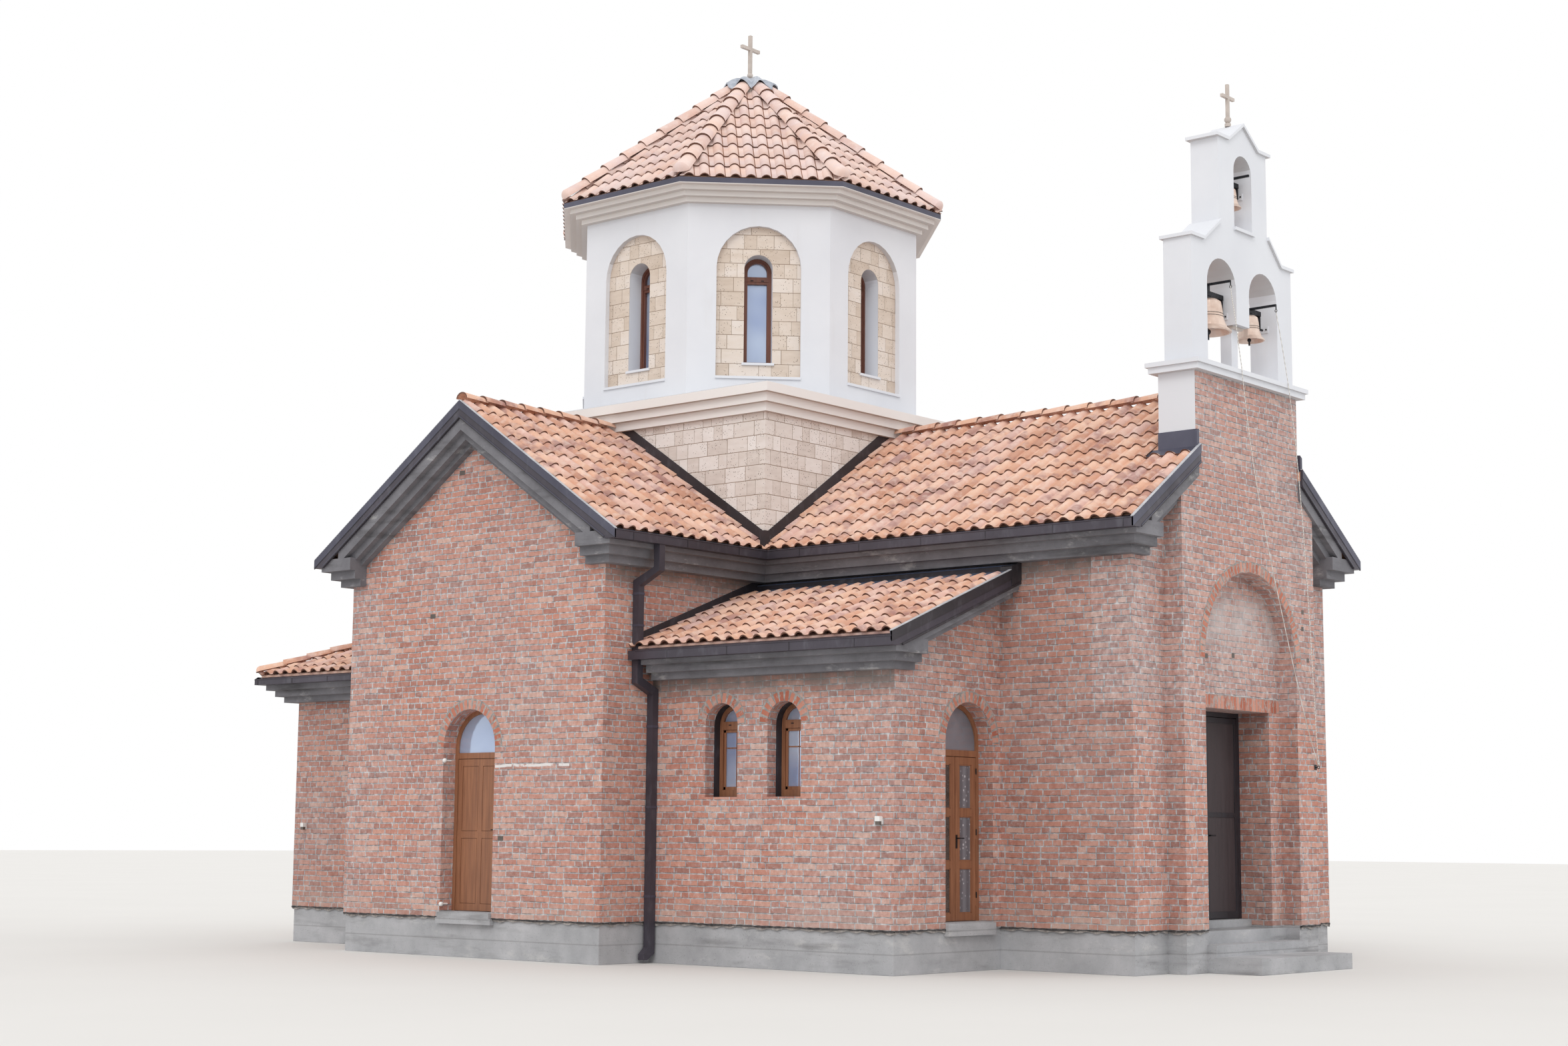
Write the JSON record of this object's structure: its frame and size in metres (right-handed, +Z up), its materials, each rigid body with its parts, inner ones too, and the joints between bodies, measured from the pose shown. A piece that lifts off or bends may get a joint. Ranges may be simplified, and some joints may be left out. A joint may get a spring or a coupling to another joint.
{
  "type": "church building",
  "caption": "Small brick church on a cross plan: tiled gable roofs, octagonal drum with pyramid roof, bell gable over the entrance, lean-to side rooms.",
  "frame": {"origin": "on the ground under the middle of the drum", "axes": "+Z up, the entrance front faces -Y, +X to the right as seen from the entrance"},
  "size_m": [11.364, 14.655, 13.674],
  "materials": {
    "concrete": "rough board-marked concrete",
    "brick": "weathered brick with smeared mortar",
    "sheet_metal": "satin coated sheet",
    "roof_tile": "matt clay",
    "travertine": "honed, pitted",
    "render": "fine matt render",
    "glass": "clear with pale curtain behind",
    "cross_paint": "satin paint",
    "bronze": "as cast, lightly polished",
    "iron": "satin black paint",
    "rope": "worn twisted rope",
    "dark_timber": "satin stain",
    "timber": "satin lacquer"
  },
  "bodies": {
    "building": {"foundation": "concrete", "entrance_steps": "concrete", "main_cornice_left": "concrete", "main_cornice_right": "concrete", "lean_left_cornice": "concrete", "lean_right_cornice": "concrete", "annex_left_cornice": "concrete", "annex_right_cornice": "concrete", "nave_wall_left": "brick", "nave_wall_right": "brick", "front_wall_top": "brick", "transept_left_wall_front": "brick", "transept_left_wall_rear": "brick", "transept_left_wall_top": "brick", "transept_right_wall": "brick", "rear_walls": "brick", "lean_left_wall_side": "brick", "lean_left_wall_top": "brick", "lean_right_wall": "brick", "gutters": "sheet_metal", "drum_gutter": "sheet_metal", "roof_nave": "roof_tile", "roof_rear": "roof_tile", "roof_transept_left": "roof_tile", "roof_transept_right": "roof_tile", "roof_lean_left": "roof_tile", "roof_lean_right": "roof_tile", "roof_annex_left": "roof_tile", "roof_annex_right": "roof_tile", "drum_roof": "roof_tile", "stone_base": "travertine", "drum_wall": "render", "drum_cornice": "render", "bell_ledge": "render", "bell_gable": "render", "drum_glass": "glass", "dome_cross": "cross_paint", "gable_cross": "cross_paint", "rope_eye": "iron", "rope_left": "rope", "rope_right": "rope", "front_door_frame": "dark_timber", "transept_door_frame": "timber", "lean_door_frame": "timber", "transept_right_door": "timber", "lean_right_door": "timber", "window_left_1": "timber", "window_left_2": "timber", "window_right_1": "timber", "window_right_2": "timber"},
    "front_leaf": {"front_door_leaf": "dark_timber"},
    "transept_leaf": {"transept_door_leaf": "timber"},
    "lean_leaf_left": {"lean_door_leaf_left": "timber"},
    "lean_leaf_right": {"lean_door_leaf_right": "timber"},
    "bell_left": {"bell_left": "bronze", "yoke_left": "iron"},
    "bell_right": {"bell_right": "bronze", "yoke_right": "iron"},
    "bell_top": {"bell_top": "bronze", "yoke_top": "iron"}
  },
  "joints": [
    {"name": "front_door_hinge", "type": "hinge", "parent": "building", "child": "front_leaf", "pos_m": [0.7885, -7.6565, 1.85], "axis": [0, 0, -1], "range_deg": [0, 90]},
    {"name": "transept_door_hinge", "type": "hinge", "parent": "building", "child": "transept_leaf", "pos_m": [-5.0965, 0.4315, 1.55], "axis": [0, 0, 1], "range_deg": [0, 90]},
    {"name": "lean_door_hinge_left", "type": "hinge", "parent": "building", "child": "lean_leaf_left", "pos_m": [-3.4355, -6.0485, 1.55], "axis": [0, 0, -1], "range_deg": [0, 90]},
    {"name": "lean_door_hinge_right", "type": "hinge", "parent": "building", "child": "lean_leaf_right", "pos_m": [-2.5925, -6.0485, 1.55], "axis": [0, 0, 1], "range_deg": [0, 90]},
    {"name": "bell_left_pivot", "type": "hinge", "parent": "building", "child": "bell_left", "pos_m": [-0.526, -8.156, 8.13], "axis": [1, 0, 0], "range_deg": [-12, 12]},
    {"name": "bell_right_pivot", "type": "hinge", "parent": "building", "child": "bell_right", "pos_m": [0.519, -8.156, 8.14], "axis": [1, 0, 0], "range_deg": [-12, 12]},
    {"name": "bell_top_pivot", "type": "hinge", "parent": "building", "child": "bell_top", "pos_m": [0.045, -8.156, 9.78], "axis": [1, 0, 0], "range_deg": [-12, 12]}
  ]
}
